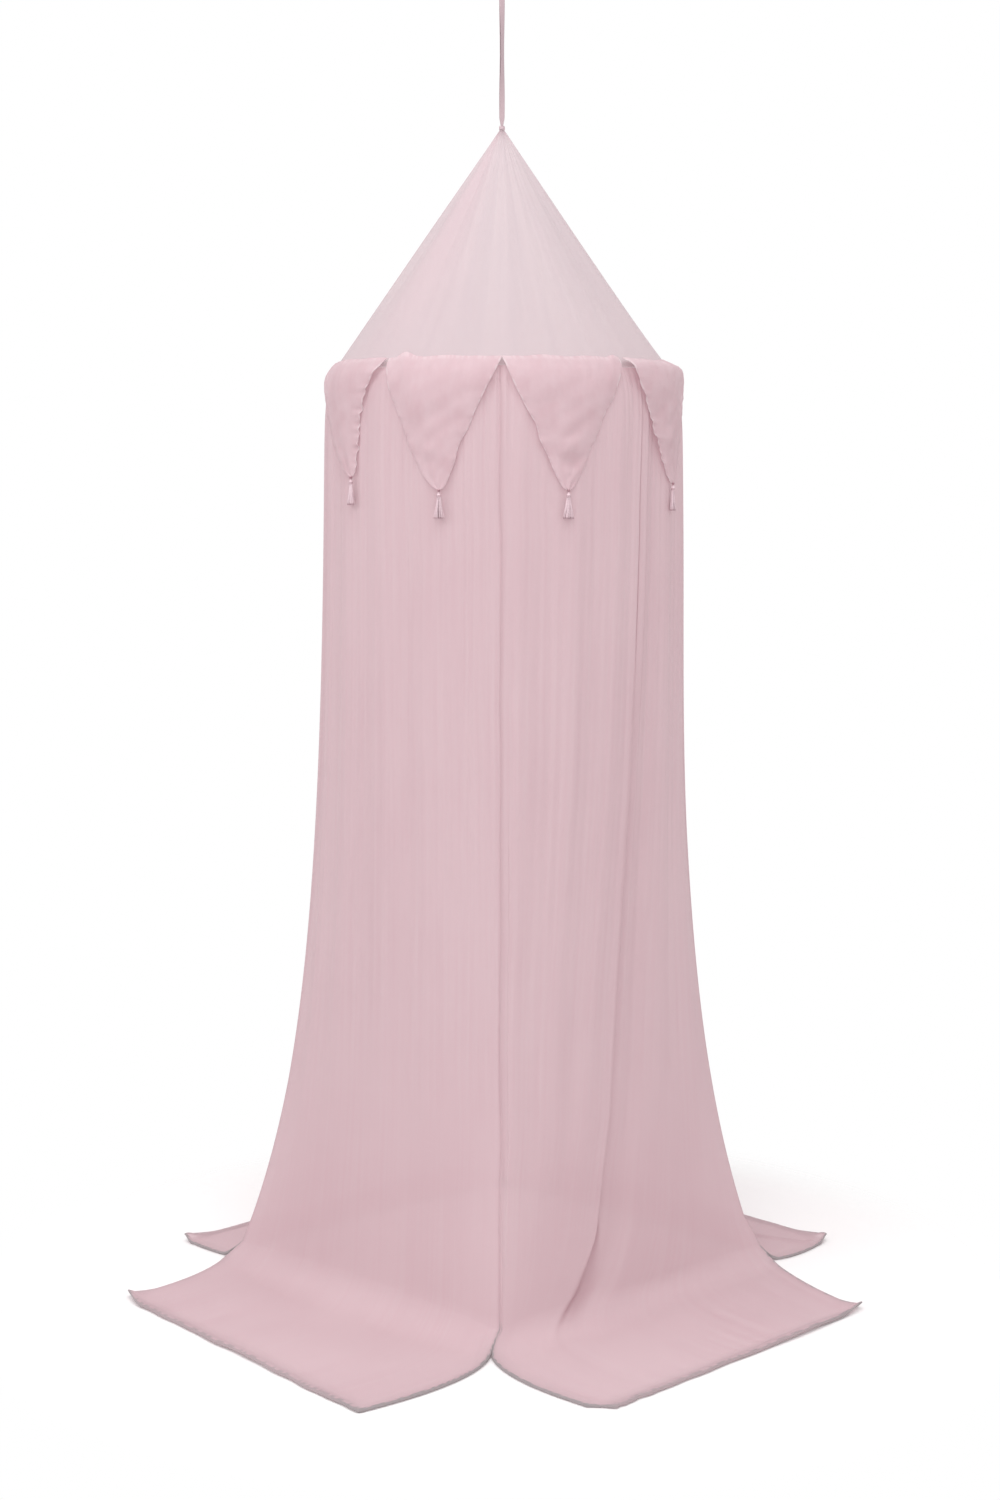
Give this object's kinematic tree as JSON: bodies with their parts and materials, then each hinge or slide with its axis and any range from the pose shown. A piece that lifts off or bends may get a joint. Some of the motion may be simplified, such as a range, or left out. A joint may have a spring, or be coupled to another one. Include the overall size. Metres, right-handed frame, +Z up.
{
  "type": "bed canopy net with hoop",
  "caption": "Sheer hanging bed canopy: a gathered cone over a hoop, pennants with tassels at the seam, and long panels that spread out on the floor.",
  "frame": {"origin": "inner top of the hanging ribbon's loop, where a ceiling hook carries the canopy", "axes": "+Z up, along the canopy's axis; the front opening faces -Y; +X is the canopy's right, seen from the front; the floor is at z = -2.265"},
  "size_m": [1.2486, 1.315, 2.2662],
  "materials": {
    "voile": "sheer plain-weave cotton voile, old rose, matt",
    "sheer_voile": "single layer of the same voile, paler, see-through, matt",
    "pennant_voile": "doubled voile with a rolled edge, matt",
    "tassel_yarn": "soft cotton yarn, matt",
    "ribbon": "narrow woven ribbon, slight sheen",
    "hoop_rod": "plain white plastic rod"
  },
  "bodies": {
    "root": {"hanging_ribbon": "ribbon", "cone": "sheer_voile", "hoop": "hoop_rod", "panel_front_left": "voile", "panel_front_right": "voile", "panel_back_left": "voile", "panel_back_right": "voile", "pennant_1": "pennant_voile", "pennant_2": "pennant_voile", "pennant_3": "pennant_voile", "pennant_4": "pennant_voile", "pennant_5": "pennant_voile", "pennant_6": "pennant_voile", "pennant_7": "pennant_voile", "pennant_8": "pennant_voile", "tassel_1": "tassel_yarn", "tassel_2": "tassel_yarn", "tassel_3": "tassel_yarn", "tassel_4": "tassel_yarn", "tassel_5": "tassel_yarn", "tassel_6": "tassel_yarn", "tassel_7": "tassel_yarn", "tassel_8": "tassel_yarn"}
  },
  "joints": []
}
